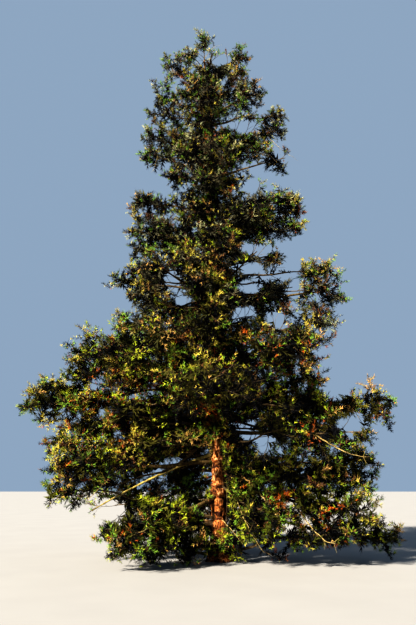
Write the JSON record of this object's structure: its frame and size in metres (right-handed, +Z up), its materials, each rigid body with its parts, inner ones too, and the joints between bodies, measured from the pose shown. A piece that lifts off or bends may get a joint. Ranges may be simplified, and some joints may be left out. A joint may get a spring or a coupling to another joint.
{
  "type": "japanese cedar tree",
  "caption": "Whole Japanese cedar: a straight tapering trunk with a root flare, ringed to the ground by tiers of boughs that end in drooping masses of needle sprays.",
  "frame": {"origin": "middle of the flat cut under the trunk, at ground level", "axes": "+Z up the trunk, +X to the right and +Y away from someone who stands where the tree leans slightly left"},
  "size_m": [9.2853, 8.2789, 14.8285],
  "materials": {
    "bark": "rough fibrous bark, red-brown, peeling in long vertical strips",
    "bough_bark": "thin flaking bark, grey-brown with a yellow-green bloom",
    "foliage_green": "matte needles, mid green to blue-green",
    "foliage_dark": "matte needles, dark green",
    "foliage_olive": "matte needles, olive to yellow-green",
    "foliage_bronze": "matte needles with a bronze winter tint, some of them dead and rust-brown"
  },
  "bodies": {
    "root": {"bough_bare": "bough_bark", "bough_foot_left_front": "bough_bark", "bough_foot_right": "bough_bark", "bough_hem_left": "bough_bark", "bough_hem_left_hanging": "bough_bark", "bough_hem_right_far": "bough_bark", "bough_hem_right_front": "bough_bark", "bough_shoulder_right_far": "bough_bark", "bough_skirt_left": "bough_bark", "foliage_foot_back_left": "foliage_bronze", "foliage_foot_back_right": "foliage_bronze", "foliage_foot_left_front": "foliage_bronze", "foliage_foot_right": "foliage_bronze", "foliage_foot_right_near": "foliage_bronze", "foliage_foot_right_tip": "foliage_bronze", "foliage_hem_back_left": "foliage_olive", "foliage_hem_back_right": "foliage_olive", "foliage_hem_front": "foliage_olive", "foliage_hem_left": "foliage_olive", "foliage_hem_left_hanging": "foliage_olive", "foliage_hem_near_left": "foliage_olive", "foliage_hem_near_right": "foliage_olive", "foliage_hem_right_far": "foliage_olive", "foliage_hem_right_front": "foliage_olive", "foliage_leader": "foliage_green", "foliage_middle_back_left": "foliage_dark", "foliage_middle_back_right": "foliage_dark", "foliage_middle_front": "foliage_dark", "foliage_middle_front_right": "foliage_dark", "foliage_middle_left_high": "foliage_dark", "foliage_middle_left_low": "foliage_dark", "foliage_middle_right": "foliage_dark", "foliage_middle_right_high": "foliage_dark", "foliage_middle_thin_right": "foliage_dark", "foliage_shoulder_back_left": "foliage_dark", "foliage_shoulder_back_right": "foliage_dark", "foliage_shoulder_front_left": "foliage_dark", "foliage_shoulder_front_right": "foliage_dark", "foliage_shoulder_left": "foliage_dark", "foliage_shoulder_right": "foliage_dark", "foliage_shoulder_right_far": "foliage_dark", "foliage_skirt_back_left": "foliage_olive", "foliage_skirt_back_right": "foliage_olive", "foliage_skirt_front": "foliage_olive", "foliage_skirt_front_left": "foliage_olive", "foliage_skirt_front_right": "foliage_olive", "foliage_skirt_left": "foliage_olive", "foliage_skirt_right": "foliage_olive", "foliage_top_back": "foliage_green", "foliage_top_front": "foliage_green", "foliage_top_left": "foliage_green", "foliage_top_right": "foliage_green", "foliage_upper_back_left": "foliage_green", "foliage_upper_back_right": "foliage_green", "foliage_upper_front": "foliage_green", "foliage_upper_left_high": "foliage_green", "foliage_upper_left_low": "foliage_green", "foliage_upper_right_high": "foliage_green", "foliage_upper_right_middle": "foliage_green", "trunk": "bark"}
  },
  "joints": []
}
